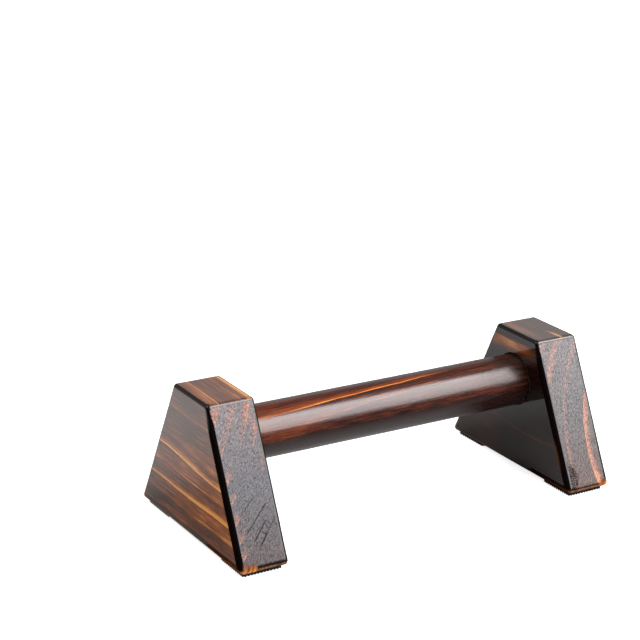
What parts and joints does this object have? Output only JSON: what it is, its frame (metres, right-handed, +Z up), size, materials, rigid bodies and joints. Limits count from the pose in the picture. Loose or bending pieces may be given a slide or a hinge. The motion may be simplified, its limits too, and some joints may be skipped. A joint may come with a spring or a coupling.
{
  "type": "parallette bar",
  "caption": "Low gymnastics handstand bar: a round wooden grip bar glued and screwed between tapered wooden end blocks that stand on ribbed rubber foot pads.",
  "frame": {"origin": "on the floor, under the middle of the grip bar, at the centre of the bounding box's bottom", "axes": "+X along the grip bar, +Y across the end blocks away from the viewer, +Z up"},
  "size_m": [0.32, 0.1514, 0.11],
  "materials": {
    "bar_wood": "dark stained softwood under gloss lacquer",
    "block_wood": "dark stained softwood under gloss lacquer",
    "screw_steel": "dark phosphated steel",
    "pad_rubber": "matt black, diagonally ribbed underneath",
    "pad_tape": "black double-sided adhesive tape"
  },
  "bodies": {
    "root": {"grip_bar": "bar_wood", "right_end_block": "block_wood", "left_end_block": "block_wood", "right_bar_screw": "screw_steel", "left_bar_screw": "screw_steel", "right_front_foot_pad": "pad_rubber", "right_rear_foot_pad": "pad_rubber", "left_front_foot_pad": "pad_rubber", "left_rear_foot_pad": "pad_rubber", "right_front_pad_tape": "pad_tape", "right_rear_pad_tape": "pad_tape", "left_front_pad_tape": "pad_tape", "left_rear_pad_tape": "pad_tape"}
  },
  "joints": []
}
